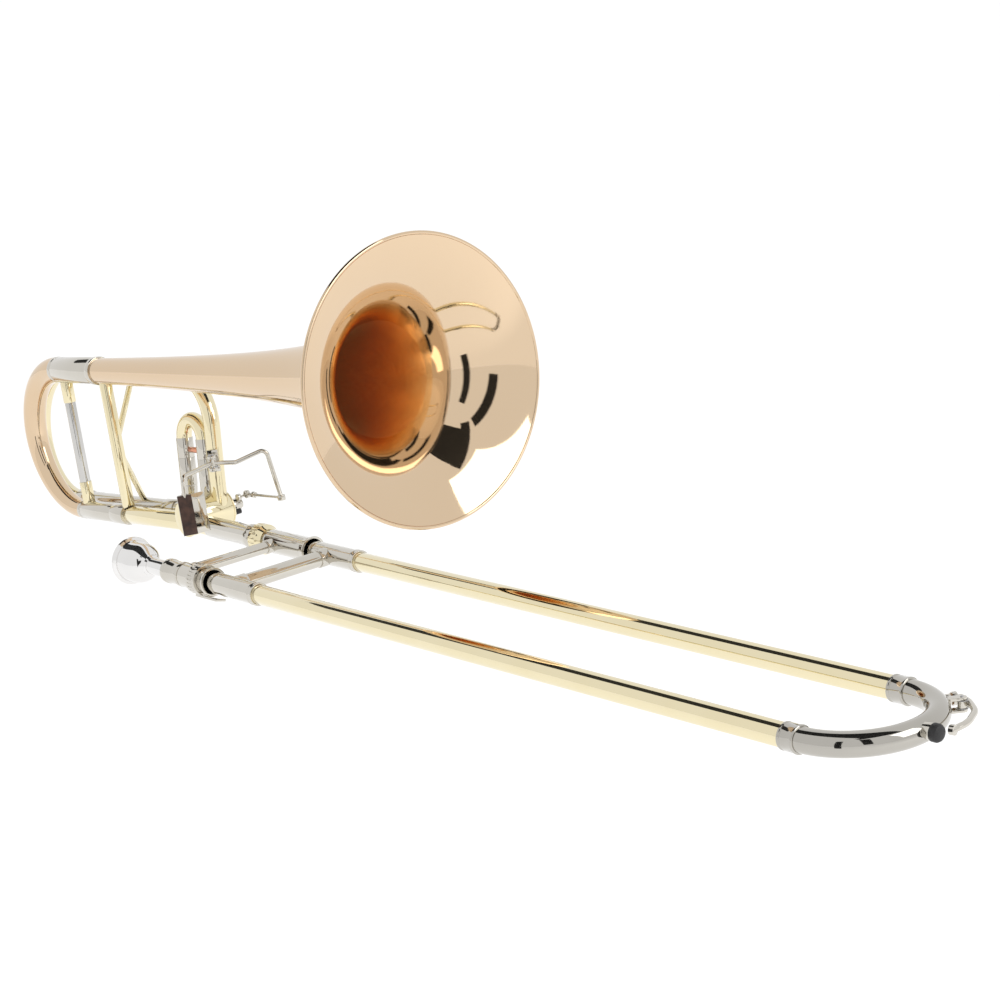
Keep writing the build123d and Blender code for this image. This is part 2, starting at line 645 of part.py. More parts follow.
# hinge bracket on the front F tube, with an ear above and below the hub
ear_thickness = 2.4
ear_gap = hub_length / 2 + 0.12
f_core_front = f_lean_place * bar((f_front_x, f_plane_y, 20), (f_front_x, f_plane_y, 79), f_od_r)
bracket = Part()
bracket_y = f_plane_y + (lever_z - f_lower_z) * tan(radians(f_lean))
bracket_turn = degrees(atan2(lever_y - bracket_y, lever_x - f_front_x))
span = sqrt((lever_x - f_front_x) ** 2 + (lever_y - bracket_y) ** 2)
for side in (-1, 1):
    z = lever_z + side * (ear_gap + ear_thickness / 2)
    ear = Pos(f_front_x, bracket_y, z) * Rot(0, 0, bracket_turn) * Pos(span / 2, 0, 0) * Box(span, 6.4, ear_thickness)
    tip = Pos(lever_x, lever_y, z) * Cylinder(3.6, ear_thickness)
    bracket += ear + tip
back_height = 2 * (ear_gap + ear_thickness)
bracket_foot = Pos(f_od_r + 1.2, 0, 0) * Box(4.0, 9.0, back_height + 6)
bracket += Pos(f_front_x, bracket_y, lever_z) * Rot(0, 0, bracket_turn) * bracket_foot
bracket -= f_core_front
hinge_pin = hub_at * Cylinder(hinge_pin_r, back_height + 1.6)
hinge_head = hub_at * Pos(0, 0, back_height / 2 + 0.8) * Cylinder(2.4, 1.2)
hinge_pin = hinge_pin + hinge_head
spring_z = lever_z - hub_length / 2 + 0.85
lever_coil = Pos(lever_x, lever_y, spring_z) * coil(0.28, hub_r + 0.6, 0.62, 1.8)
save("lever_spring", section * lever_coil)
save("lever_bracket", section * (bracket - hinge_pin))
save("lever_hinge_pin", section * hinge_pin)

# ---- F attachment tubes
up_tube = bent(
    [(f_front_x, f_plane_y, valve_z), (f_front_x, f_plane_y, f_upper_z), (f_crook_x + 12, f_plane_y, f_upper_z)],
    f_bend_r, f_od_r, f_bore_r,
)
save("f_up_tube", f_frame * up_tube - casing_block)

f_major = (f_upper_z - f_lower_z) / 2
f_crook_mid_z = (f_upper_z + f_lower_z) / 2


def half_ring(major, r, place, turn=180):
    """Part of a torus about Y, starting at the top of the ring and turning to -X."""
    ring_section = Plane((0, 0, major), x_dir=(0, 1, 0), z_dir=(1, 0, 0)) * Circle(r)
    return place * revolve(ring_section, Axis((0, 0, 0), (0, -1, 0)), turn)


f_crook_place = Pos(f_crook_x, f_plane_y, f_crook_mid_z)
f_crook = half_ring(f_major, f_od_r, f_crook_place) - half_ring(f_major, f_bore_r, f_crook_place)
save("f_rear_crook", f_frame * f_crook)


def f_ferrule(x0, x1, z):
    return Pos(0, f_plane_y, z) * tube(f_od_r + 0.8, f_od_r, x0, x1)


foot_top_x = f_rear_x - f_slide_spacing
foot_x = foot_top_x - f_foot_r
ferrules = f_ferrule(f_crook_x, f_crook_x + 20, f_upper_z)
ferrules += f_ferrule(f_crook_x, f_crook_x + 20, f_lower_z)
ferrules += f_ferrule(foot_x - 18, foot_x, f_lower_z)
save("f_ferrules", f_frame * ferrules)
joint_piece = Pos(0, f_plane_y, f_upper_z) * tube(f_od_r, f_bore_r, f_crook_x, f_crook_x + 12)
run_piece = Pos(0, f_plane_y, f_lower_z) * tube(f_od_r, f_bore_r, f_crook_x, foot_x - 1)

sleeve_foot_z = f_lower_z + f_foot_r
foot = bent(
    [(foot_x - 1, f_plane_y, f_lower_z), (foot_top_x, f_plane_y, f_lower_z), (foot_top_x, f_plane_y, sleeve_foot_z + 1)],
    f_foot_r, f_od_r, f_bore_r,
)
save("f_lower_run", Compound(children=[f_frame * run_piece, f_frame * joint_piece, f_frame * foot]))

f_sleeve_r = f_od_r + 0.35
f_leg_r = f_sleeve_r - f_sleeve_wall - tuning_play
f_leg_bore_r = f_leg_r - 0.45


def f_upright(x, r_out, r_in, z0, z1):
    core = bar((x, f_plane_y, z0), (x, f_plane_y, z1), r_out)
    return core - bar((x, f_plane_y, z0), (x, f_plane_y, z1), r_in)


f_sleeves = f_upright(foot_top_x, f_sleeve_r, f_sleeve_r - f_sleeve_wall, sleeve_foot_z + 1, f_slide_seam_z)
f_sleeves += f_upright(f_rear_x, f_sleeve_r, f_sleeve_r - f_sleeve_wall, valve_z, f_slide_seam_z)
save("f_slide_sleeves", f_frame * f_sleeves - casing_block)

# F tuning slide: two legs, two ferrules, a bow and a cross brace
crown_place = Pos(f_rear_x - f_slide_spacing / 2, f_plane_y, f_slide_crown_z)
f_half = f_slide_spacing / 2
crown = half_ring(f_half, f_leg_r + 0.3, crown_place * Rot(0, 90, 0)) - half_ring(
    f_half, f_leg_bore_r, crown_place * Rot(0, 90, 0)
)
leg_low_z = sleeve_foot_z + 1 + f_leg_gap
f_collars = Part()
f_legs = Part()
for x in (foot_top_x, f_rear_x):
    f_legs += f_upright(x, f_leg_r, f_leg_bore_r, leg_low_z, f_slide_crown_z)
    f_collars += f_upright(x, f_sleeve_r, f_leg_r, f_slide_seam_z + 0.1, f_slide_crown_z)
save("f_slide_bow", f_frame * crown)
save("f_slide_legs", Compound(children=[f_frame * f_legs, f_frame * f_collars]))
cross = bar((foot_top_x, f_plane_y, 57), (f_rear_x, f_plane_y, 57), 2.6)
for x in (foot_top_x, f_rear_x):
    cross -= bar((x, f_plane_y, 40), (x, f_plane_y, 70), f_sleeve_r)
save("f_slide_brace", f_frame * cross)

# ---- lower leg and sleeves of the bell section
lower_leg = tube(main_tube_r, main_bore_r, lower_sleeve_front_x, valve_x)
save("lower_leg", section * lower_leg - casing_block - rod(main_tube_r, kink_x, neck_front_x))
lower_bore = lower_sleeve_r - lower_sleeve_wall
upper_bore = upper_sleeve_r - upper_sleeve_wall
bell_end_x = rim_x - bell_length
at_bell = Pos(0, 0, main_spacing)
lower_sleeve = tube(lower_sleeve_r, lower_bore, seam_x, lower_sleeve_front_x)
upper_sleeve = at_bell * tube(upper_sleeve_r, upper_bore, seam_x, bell_end_x)
save("tuning_sleeves", Compound(children=[section * lower_sleeve, section * upper_sleeve]))


# ---- bell: Bessel horn with its wall laid off along the normal
def horn_radius(s):
    return rim_r * (flare_offset / (s + flare_offset)) ** flare_power


def horn_slope(s):
    return -flare_power * horn_radius(s) / (s + flare_offset)


stations = [0, 1.2, 3, 6, 10, 16, 25, 38, 55, 80, 115, 160, 220, 300, 390, bell_length]
back_curve = []
front_curve = []
for s in stations:
    slope = horn_slope(s)
    norm = sqrt(1 + slope**2)
    back_curve.append((rim_x - s, horn_radius(s)))
    front_curve.append((rim_x - s - bell_wall * slope / norm, horn_radius(s) - bell_wall / norm))
horn_edges = [
    Spline(*back_curve), Line(back_curve[-1], front_curve[-1]),
    Spline(*reversed(front_curve)), Line(front_curve[0], back_curve[0]),
]
bell = revolve(make_face(Wire(horn_edges)), Axis.X)
bead_ring = Pos(rim_x - 0.2, 0, 0) * Rot(0, 90, 0) * Torus(rim_r - 0.2, bead_r)
flare_block = rod(rim_r + 20, rim_x - flare_length, rim_x + 20)
save("bell_flare", section * at_bell * ((bell & flare_block) + bead_ring))
save("bell_stem", section * at_bell * (bell - flare_block))

bell_collar = tube(upper_sleeve_r + 0.8, upper_bore, bell_end_x - 3, bell_end_x + 3)
bell_collar -= tube(upper_sleeve_r, upper_bore - 1, seam_x, bell_end_x)
bell_collar -= bell
bell_collar -= rod(horn_radius(bell_length) - 0.2, bell_end_x - 4, bell_end_x + 4)
lower_collar = tube(lower_sleeve_r + 0.7, lower_sleeve_r, lower_sleeve_front_x - 21, lower_sleeve_front_x)
save("section_collars", Compound(children=[section * at_bell * bell_collar, section * lower_collar]))

# ---- braces between the bell pipe and the lower leg
upper_core = at_bell * rod(upper_sleeve_r, seam_x, bell_end_x)
bell_core = at_bell * (rod(upper_sleeve_r + 0.8, bell_end_x - 3, bell_end_x + 3) + bell)
lower_core = rod(lower_sleeve_r, seam_x, lower_sleeve_front_x + 30)
lower_core += rod(lower_sleeve_r + 0.7, lower_sleeve_front_x - 21, lower_sleeve_front_x)


def upright(x, r, z0, z1):
    return bar((x, 0, z0), (x, 0, z1), r)


rear_brace = upright(rear_brace_x, rear_brace_r, 0, main_spacing) - upper_core - lower_core
rear_brace -= upright(rear_brace_x, rear_brace_r - brace_wall, -5, main_spacing + 5)
save("rear_brace", section * rear_brace)
socket_r_out = rear_brace_r + socket_wall
lower_socket = upright(rear_brace_x, socket_r_out, 0, lower_sleeve_r + socket_length)
upper_socket = upright(rear_brace_x, socket_r_out, main_spacing - upper_sleeve_r - socket_length, main_spacing)
sockets = (lower_socket + upper_socket) - upright(rear_brace_x, rear_brace_r, -1, main_spacing + 1)
sockets = sockets - upper_core - lower_core
save("rear_brace_sockets", section * sockets)
front_brace = upright(front_brace_x, front_brace_r, 0, main_spacing - 6) - bell_core - upper_core - lower_core
front_brace -= upright(front_brace_x, front_brace_r - brace_wall, 0, main_spacing)
lower_leg_core = rod(main_tube_r, lower_sleeve_front_x, 0)
save("front_brace", section * (front_brace - lower_leg_core))

brace_mid_z = 64.0
strut_r = 2.7
strut_x = front_brace_x - 6.0
upper_run_y = f_plane_y + (f_upper_z - f_lower_z) * sin(radians(f_lean))
upper_run_z = f_lower_z + (f_upper_z - f_lower_z) * cos(radians(f_lean))
strut_up = bar((front_brace_x, 0, brace_mid_z + 2), (strut_x, upper_run_y, upper_run_z), strut_r)
strut_down = bar((front_brace_x, 0, brace_mid_z - 2), (strut_x, f_plane_y, f_lower_z), strut_r)
front_core = upright(front_brace_x, front_brace_r, 0, main_spacing)
f_upper_core = Pos(0, upper_run_y, upper_run_z) * rod(f_od_r, f_crook_x, 0)
f_lower_core = Pos(0, f_plane_y, f_lower_z) * rod(f_od_r, f_crook_x, 0)
struts = (strut_up - front_core - f_upper_core) + (strut_down - front_core - f_lower_core - lower_core)
save("brace_struts", section * struts)

# ---- main tuning slide: tapered crook, two ferrules, two inner legs
crook_major = main_spacing / 2
steps = 8


def crook_shell(shrink):
    rings = []
    for i in range(steps + 1):
        a = radians(90 + 180 * i / steps)
        r = crook_large_r + (crook_small_r - crook_large_r) * i / steps - shrink
        centre = (crook_x + crook_major * cos(a), 0, crook_major + crook_major * sin(a))
        rings.append(Plane(centre, x_dir=(0, 1, 0), z_dir=(-sin(a), 0, cos(a))) * Circle(r))
    return loft(rings)


save("tuning_crook", section * (crook_shell(0) - crook_shell(crook_wall)))
seam_gap = 0.2
leg_large_r = upper_bore - tuning_play
leg_small_r = lower_bore - tuning_play
leg_end_x = seam_x + tuning_leg_reach
upper_leg = section * at_bell * tube(leg_large_r, leg_large_r - tuning_leg_wall, crook_x, leg_end_x)
lower_inner = section * tube(leg_small_r, leg_small_r - tuning_leg_wall, crook_x, leg_end_x)
save("tuning_legs", Compound(children=[upper_leg, lower_inner]))
upper_ferrule = at_bell * tube(upper_sleeve_r, leg_large_r, crook_x, seam_x - seam_gap)
lower_ferrule = tube(lower_sleeve_r, leg_small_r, crook_x, seam_x - seam_gap)
save("tuning_ferrules", section * (upper_ferrule + lower_ferrule))

print("bell small end radius", round(horn_radius(bell_length), 2), "sleeve radius", upper_sleeve_r)
print("parts", len(os.listdir("parts")))
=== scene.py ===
import bpy
import json
from math import atan2, cos, hypot, radians, sin
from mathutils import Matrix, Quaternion, Vector


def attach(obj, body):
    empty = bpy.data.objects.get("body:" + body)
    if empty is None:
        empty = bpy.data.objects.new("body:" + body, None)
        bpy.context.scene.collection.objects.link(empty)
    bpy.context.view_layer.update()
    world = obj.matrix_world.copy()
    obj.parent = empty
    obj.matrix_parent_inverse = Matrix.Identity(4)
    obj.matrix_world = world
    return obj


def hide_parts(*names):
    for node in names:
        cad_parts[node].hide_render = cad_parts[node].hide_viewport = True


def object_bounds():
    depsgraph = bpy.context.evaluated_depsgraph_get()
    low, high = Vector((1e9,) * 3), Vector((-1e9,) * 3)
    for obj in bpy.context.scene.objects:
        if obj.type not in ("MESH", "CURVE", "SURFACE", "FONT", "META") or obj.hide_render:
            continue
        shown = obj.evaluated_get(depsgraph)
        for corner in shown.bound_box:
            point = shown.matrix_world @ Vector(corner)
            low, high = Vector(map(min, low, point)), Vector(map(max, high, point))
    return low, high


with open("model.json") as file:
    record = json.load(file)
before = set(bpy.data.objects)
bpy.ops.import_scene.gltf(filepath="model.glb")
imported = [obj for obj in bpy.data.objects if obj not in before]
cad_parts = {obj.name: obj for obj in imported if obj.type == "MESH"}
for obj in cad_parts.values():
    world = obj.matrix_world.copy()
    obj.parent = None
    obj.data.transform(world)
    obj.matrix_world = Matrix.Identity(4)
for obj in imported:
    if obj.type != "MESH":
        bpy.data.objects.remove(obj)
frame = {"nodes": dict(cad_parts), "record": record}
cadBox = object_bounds()
print("frame loaded:", len(frame["nodes"]), "nodes")

mm = 0.001  # every size below is in millimetres
record = frame["record"]
mounts = {mount["name"]: mount for mount in record["mounts"]}

# the bell section has its own tilted directions: along the bell, up to it, and the player's left
alongSlide = Vector((1, 0, 0))
toLeft = Vector((0, 1, 0))
straightUp = Vector((0, 0, 1))
alongBell = Vector(mounts["bell_mouth"]["axis"]).normalized()
upBell = Vector((-alongBell.z, 0, alongBell.x))
sectionPlan = {"rimAhead": 366.5, "bellUp": 131.6}
rimCentre = Vector(mounts["bell_mouth"]["pos_m"])
kink = rimCentre - alongBell * sectionPlan["rimAhead"] * mm - upBell * sectionPlan["bellUp"] * mm


def inSection(x, y, z):
    return kink + alongBell * x * mm + toLeft * y * mm + upBell * z * mm


def newGroup(name, inputs, outputs):
    group = bpy.data.node_groups.new(name, "ShaderNodeTree")
    for label, kind, value in inputs:
        socket = group.interface.new_socket(name=label, in_out="INPUT", socket_type=kind)
        if value is not None:
            socket.default_value = value
    for label, kind in outputs:
        group.interface.new_socket(name=label, in_out="OUTPUT", socket_type=kind)
    return group


def addNode(tree, kind, links=None, **values):
    # a node with its settings, its values by input name, and what feeds it
    node = tree.nodes.new(kind)
    for key, value in values.items():
        if hasattr(node, key):
            setattr(node, key, value)
    for label, source in (links or {}).items():
        if isinstance(source, (int, float, tuple)):
            node.inputs[label].default_value = source
        else:
            tree.links.new(source, node.inputs[label])
    return node


def buildPolishGroup():
    # cloudy lacquer colour, faint wiping marks and a fine orange peel
    group = newGroup(
        "polishedSurface",
        [("Vector", "NodeSocketVector", None), ("Colour", "NodeSocketColor", (0.8, 0.8, 0.8, 1)),
         ("Shade", "NodeSocketColor", (0.6, 0.6, 0.6, 1)), ("Smoothest", "NodeSocketFloat", 0.05),
         ("Dullest", "NodeSocketFloat", 0.15), ("Cloud Scale", "NodeSocketFloat", 30.0)],
        [("Color", "NodeSocketColor"), ("Roughness", "NodeSocketFloat"), ("Height", "NodeSocketFloat")],
    )
    start = group.nodes.new("NodeGroupInput").outputs
    cloud = addNode(group, "ShaderNodeTexNoise", {"Vector": start["Vector"],
        "Scale": start["Cloud Scale"], "Detail": 3.0})
    mixed = addNode(group, "ShaderNodeMix", {0: cloud.outputs["Fac"]}, data_type="RGBA")
    group.links.new(start["Colour"], mixed.inputs[6])
    group.links.new(start["Shade"], mixed.inputs[7])
    stretch = addNode(group, "ShaderNodeMapping", {"Vector": start["Vector"],
        "Scale": (220.0, 900.0, 900.0)})
    wipe = addNode(group, "ShaderNodeTexNoise", {"Vector": stretch.outputs["Vector"], "Scale": 1.0,
        "Detail": 2.0})
    rough = addNode(group, "ShaderNodeMapRange", {
        "Value": wipe.outputs["Fac"], "From Min": 0.35, "From Max": 0.75,
        "To Min": start["Smoothest"], "To Max": start["Dullest"],
    })
    peel = addNode(group, "ShaderNodeTexNoise", {"Vector": start["Vector"], "Scale": 260.0, "Detail": 1.0})
    end = group.nodes.new("NodeGroupOutput")
    group.links.new(mixed.outputs[2], end.inputs["Color"])
    group.links.new(rough.outputs["Result"], end.inputs["Roughness"])
    group.links.new(peel.outputs["Fac"], end.inputs["Height"])
    return group


def buildSpinGroup():
    # rings left by a spinning lathe, running round the axis that the mapped X follows
    group = newGroup(
        "spunRings",
        [("Vector", "NodeSocketVector", None), ("Rings", "NodeSocketFloat", 900.0),
        ("Waver", "NodeSocketFloat", 0.4)],
        [("Height", "NodeSocketFloat"), ("Mask", "NodeSocketFloat")],
    )
    start = group.nodes.new("NodeGroupInput").outputs
    wave = addNode(
        group, "ShaderNodeTexWave",
        {"Vector": start["Vector"], "Scale": start["Rings"], "Distortion": start["Waver"], "Detail": 2.0},
        wave_type="BANDS", bands_direction="X",
    )
    squeeze = addNode(group, "ShaderNodeMapping", {"Vector": start["Vector"],
        "Scale": (1400.0, 14.0, 14.0)})
    lines = addNode(group, "ShaderNodeTexNoise", {"Vector": squeeze.outputs["Vector"], "Scale": 1.0,
        "Detail": 3.0})
    total = addNode(group, "ShaderNodeMath", {0: wave.outputs["Fac"], 1: lines.outputs["Fac"]},
        operation="MULTIPLY")
    end = group.nodes.new("NodeGroupOutput")
    group.links.new(total.outputs[0], end.inputs["Height"])
    group.links.new(lines.outputs["Fac"], end.inputs["Mask"])
    return group


polishGroup = buildPolishGroup()
spinGroup = buildSpinGroup()


def newMaterial(name):
    material = bpy.data.materials.new(name)
    material.use_nodes = True
    tree = material.node_tree
    shader = tree.nodes["Principled BSDF"]
    coords = tree.nodes.new("ShaderNodeTexCoord").outputs["Object"]
    return material, tree, shader, coords


def metalFinish(name, colour, shade, smoothest, dullest, cloudScale=30.0, coat=0.0, peel=0.02, spun=0.0,
    paintedGlow=0.0):
    material, tree, shader, coords = newMaterial(name)
    polish = tree.nodes.new("ShaderNodeGroup")
    polish.node_tree = polishGroup
    tree.links.new(coords, polish.inputs["Vector"])
    polish.inputs["Colour"].default_value = (*colour, 1)
    polish.inputs["Shade"].default_value = (*shade, 1)
    polish.inputs["Smoothest"].default_value = smoothest
    polish.inputs["Dullest"].default_value = dullest
    polish.inputs["Cloud Scale"].default_value = cloudScale
    tree.links.new(polish.outputs["Color"], shader.inputs["Base Color"])
    tree.links.new(polish.outputs["Roughness"], shader.inputs["Roughness"])
    bump = addNode(tree, "ShaderNodeBump", {"Height": polish.outputs["Height"], "Strength": peel,
        "Distance": 0.0004})
    if spun:
        tilt = addNode(tree, "ShaderNodeMapping", {"Vector": coords})
        tilt.inputs["Rotation"].default_value = (0, atan2(alongBell.z, alongBell.x), 0)
        rings = tree.nodes.new("ShaderNodeGroup")
        rings.node_tree = spinGroup
        tree.links.new(tilt.outputs["Vector"], rings.inputs["Vector"])
        second = addNode(tree, "ShaderNodeBump", {"Height": rings.outputs["Height"], "Strength": spun,
            "Distance": 0.0003})
        tree.links.new(bump.outputs["Normal"], second.inputs["Normal"])
        bump = second
    tree.links.new(bump.outputs["Normal"], shader.inputs["Normal"])
    shader.inputs["Metallic"].default_value = 1.0
    shader.inputs["Coat Weight"].default_value = coat
    shader.inputs["Coat Roughness"].default_value = 0.03
    # painted light: an optional faint emission in the metal's own colour, so the part glows a little
    # without any lamp
    if paintedGlow:
        shader.inputs["Emission Strength"].default_value = paintedGlow
        tree.links.new(polish.outputs["Color"], shader.inputs["Emission Color"])
    return material


finishes = {
    "bellOutside": metalFinish("roseBrassLacquered", (0.76, 0.585, 0.40), (0.73, 0.55, 0.37), 0.03, 0.07,
    9.0, 0.35, 0.008, 0.01),
    # the bell's inside has spun rings and a faint painted glow (last value), which stands in for light
    # bouncing down the throat
    "bellThroat": metalFinish("roseBrassSpunInsidePaintedGlow", (0.80, 0.53, 0.27), (0.72, 0.44, 0.19), 0.13, 0.22,
    40.0, 0.1, 0.02, 0.14, 0.02),
    "yellowBrass": metalFinish("yellowBrassLacquered", (0.88, 0.79, 0.55), (0.84, 0.74, 0.48), 0.03,
    0.08, 25.0, 0.35, 0.01),
    "rawBrass": metalFinish("yellowBrassTurned", (0.80, 0.62, 0.30), (0.66, 0.48, 0.20), 0.16, 0.32,
    60.0, 0.0, 0.06),
    "nickelSilver": metalFinish("nickelSilverPolished", (0.66, 0.63, 0.57), (0.60, 0.57, 0.51), 0.03,
    0.09, 35.0, 0.2, 0.01),
    "nickelBow": metalFinish("nickelBowPolished", (0.52, 0.50, 0.46), (0.45, 0.43, 0.39), 0.03, 0.08,
    35.0, 0.2, 0.01),
    "nickelTube": metalFinish("nickelTubeDrawn", (0.66, 0.65, 0.63), (0.58, 0.57, 0.55), 0.08, 0.18, 50.0),
    "silverPlate": metalFinish("silverPlateMirror", (0.88, 0.87, 0.86), (0.80, 0.79, 0.78), 0.02, 0.06,
    30.0),
    "steel": metalFinish("steelTurned", (0.50, 0.50, 0.51), (0.40, 0.40, 0.41), 0.18, 0.34, 90.0, 0.0,
    0.08),
    "copper": metalFinish("copperPolished", (0.80, 0.36, 0.22), (0.66, 0.26, 0.15), 0.08, 0.20, 50.0, 0.2),
}


def rubberFinish():
    material, tree, shader, coords = newMaterial("bumperRubber")
    grain = addNode(tree, "ShaderNodeTexNoise", {"Vector": coords, "Scale": 900.0, "Detail": 4.0})
    dust = addNode(tree, "ShaderNodeTexNoise", {"Vector": coords, "Scale": 120.0, "Detail": 3.0})
    colour = addNode(tree, "ShaderNodeValToRGB", {"Fac": dust.outputs["Fac"]})
    colour.color_ramp.elements[0].color = (0.006, 0.006, 0.007, 1)
    colour.color_ramp.elements[1].color = (0.022, 0.021, 0.022, 1)
    tree.links.new(colour.outputs["Color"], shader.inputs["Base Color"])
    rough = addNode(tree, "ShaderNodeMapRange", {"Value": grain.outputs["Fac"], "To Min": 0.38,
        "To Max": 0.62})
    tree.links.new(rough.outputs["Result"], shader.inputs["Roughness"])
    bump = addNode(tree, "ShaderNodeBump", {"Height": grain.outputs["Fac"], "Strength": 0.25,
        "Distance": 0.0003})
    tree.links.new(bump.outputs["Normal"], shader.inputs["Normal"])
    return material


def corkFinish():
    material, tree, shader, coords = newMaterial("naturalCork")
    grit = addNode(tree, "ShaderNodeTexNoise", {"Vector": coords, "Scale": 700.0, "Detail": 5.0})
    cells = addNode(tree, "ShaderNodeTexVoronoi", {"Vector": coords, "Scale": 900.0})
    colour = addNode(tree, "ShaderNodeValToRGB", {"Fac": grit.outputs["Fac"]})
    colour.color_ramp.elements[0].color = (0.20, 0.10, 0.05, 1)
    colour.color_ramp.elements[0].position = 0.35
    colour.color_ramp.elements[1].color = (0.52, 0.34, 0.19, 1)
    colour.color_ramp.elements[1].position = 0.62
    tree.links.new(colour.outputs["Color"], shader.inputs["Base Color"])
    bump = addNode(tree, "ShaderNodeBump", {"Height": cells.outputs["Distance"], "Strength": 0.4,
        "Distance": 0.0003})
    tree.links.new(bump.outputs["Normal"], shader.inputs["Normal"])
    shader.inputs["Roughness"].default_value = 0.85
    return material


def leatherFinish():
    material, tree, shader, coords = newMaterial("padLeather")
    pebble = addNode(tree, "ShaderNodeTexVoronoi", {"Vector": coords, "Scale": 1100.0, "Randomness": 0.9})
    worn = addNode(tree, "ShaderNodeTexNoise", {"Vector": coords, "Scale": 160.0, "Detail": 4.0})
    colour = addNode(tree, "ShaderNodeValToRGB", {"Fac": worn.outputs["Fac"]})
    colour.color_ramp.elements[0].color = (0.030, 0.012, 0.008, 1)
    colour.color_ramp.elements[0].position = 0.35
    colour.color_ramp.elements[1].color = (0.085, 0.038, 0.024, 1)
    colour.color_ramp.elements[1].position = 0.70
    tree.links.new(colour.outputs["Color"], shader.inputs["Base Color"])
    rough = addNode(tree, "ShaderNodeMapRange", {"Value": worn.outputs["Fac"], "To Min": 0.28,
        "To Max": 0.55})
    tree.links.new(rough.outputs["Result"], shader.inputs["Roughness"])
    bump = addNode(tree, "ShaderNodeBump", {"Height": pebble.outputs["Distance"], "Strength": 0.35,
        "Distance": 0.0003})
    tree.links.new(bump.outputs["Normal"], shader.inputs["Normal"])
    return material


finishes["rubber"] = rubberFinish()
finishes["cork"] = corkFinish()
finishes["leather"] = leatherFinish()
print("finishes ready:", len(finishes))


def startFresh():
    if bpy.context.mode != "OBJECT":
        bpy.ops.object.mode_set(mode="OBJECT")
    bpy.ops.object.select_all(action="DESELECT")


def settle(piece, finish, body, replaced=(), bevel=0.0, angle=35, thickness=0.0, segments=2):
    # doubles out, wall and rounded edges on, smooth, placed in its mesh, and given its body and finish
    startFresh()
    piece.select_set(True)
    bpy.context.view_layer.objects.active = piece
    bpy.ops.object.mode_set(mode="EDIT")
    bpy.ops.mesh.select_all(action="SELECT")
    bpy.ops.mesh.remove_doubles(threshold=mergeWithin)
    bpy.ops.mesh.normals_make_consistent(inside=False)
    bpy.ops.object.mode_set(mode="OBJECT")
    bpy.ops.object.transform_apply(location=True, rotation=True, scale=True)
    if thickness:
        wall = piece.modifiers.new("wall", "SOLIDIFY")
        wall.thickness = thickness * mm
        wall.offset = -1
        wall.use_even_offset = True
        bpy.ops.object.modifier_apply(modifier=wall.name)
    if bevel:
        soften = piece.modifiers.new("edge", "BEVEL")
        soften.width = bevel * mm
        soften.segments = segments
        soften.limit_method = "ANGLE"
        soften.angle_limit = radians(angle)
        soften.use_clamp_overlap = True
        bpy.ops.object.modifier_apply(modifier=soften.name)
    bpy.ops.object.shade_smooth_by_angle(angle=radians(angle))
    piece.data.materials.clear()
    piece.data.materials.append(finishes[finish])
    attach(piece, body)
    if replaced:
        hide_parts(*replaced)
    return piece


def startRing(name, centre, heading, radius, sides):
    startFresh()
    turn = heading.to_track_quat("Z", "Y").to_euler()
    bpy.ops.mesh.primitive_circle_add(vertices=sides, radius=radius * mm, location=centre, rotation=turn)
    ring = bpy.context.object
    ring.name = name
    bpy.ops.object.mode_set(mode="EDIT")
    bpy.ops.mesh.select_all(action="SELECT")
    return ring


pointRadius = 0.002  # a ring this small closes to a point
mergeWithin = 0.00001  # metres; corners closer than this are one corner


def turnPiece(name, outline, start, heading, sides=64):
    # a turned piece: each ring is pulled from the last, along the heading, and sized
    along, radius = outline[0]
    centre = start + heading * along * mm
    radius = max(radius, pointRadius)
    piece = startRing(name, centre, heading, radius, sides)
    for nextAlong, nextRadius in outline[1:]:
        nextRadius = max(nextRadius, pointRadius)
        step = heading * (nextAlong - along) * mm
        bpy.ops.mesh.extrude_region_move(TRANSFORM_OT_translate={"value": step})
        centre = centre + step
        grow = nextRadius / radius
        bpy.ops.transform.resize(value=(grow, grow, grow), center_override=centre)
        along, radius = nextAlong, nextRadius
    bpy.ops.object.mode_set(mode="OBJECT")
    return piece


def pipeOutline(outer, inner, x0, x1):
    return [(x0, inner), (x0, outer), (x1, outer), (x1, inner), (x0, inner)]


def bendPiece(name, start, heading, radius, moves, sides=40, endRadius=None):
    # a pipe drawn along straight runs and arcs: ("run", length) or ("bend", middle, axis, degrees)
    piece = startRing(name, start, heading, radius, sides)
    centre = start.copy()
    total = sum(abs(move[3]) for move in moves if move[0] == "bend")
    turned = 0
    size = radius
    for move in moves:
        if move[0] == "run":
            step = heading * move[1] * mm
            bpy.ops.mesh.extrude_region_move(TRANSFORM_OT_translate={"value": step})
            centre = centre + step
        else:
            middle, axis, degrees = move[1:]
            steps = max(6, int(abs(degrees) / 4))
            for _ in range(steps):
                part = radians(degrees / steps)
                bpy.ops.mesh.spin(steps=1, angle=-part, center=middle, axis=axis)
                spot = centre - middle
                spot.rotate(Quaternion(axis, part))
                centre = middle + spot
                heading = heading.copy()
                heading.rotate(Quaternion(axis, part))
                turned += abs(degrees) / steps
                if endRadius:
                    nextSize = radius + (endRadius - radius) * turned / total
                    grow = nextSize / size
                    bpy.ops.transform.resize(value=(grow, grow, grow), center_override=centre)
                    size = nextSize
    bpy.ops.object.mode_set(mode="OBJECT")
    return piece


def refined(node, finish, bevel=0.0, angle=30, name=None):
    # a fitting kept to its CAD shape, with its seams merged and its edges softened
    startFresh()
    source = frame["nodes"][node]
    source.select_set(True)
    bpy.context.view_layer.objects.active = source
    bpy.ops.object.duplicate()
    piece = bpy.context.object
    piece.name = name or node + "_finished"
    startFresh()
    body = next(key for key, members in record["behaviour"]["bodies"].items() if node in members)
    return settle(piece, finish, body, (node,), bevel, angle)


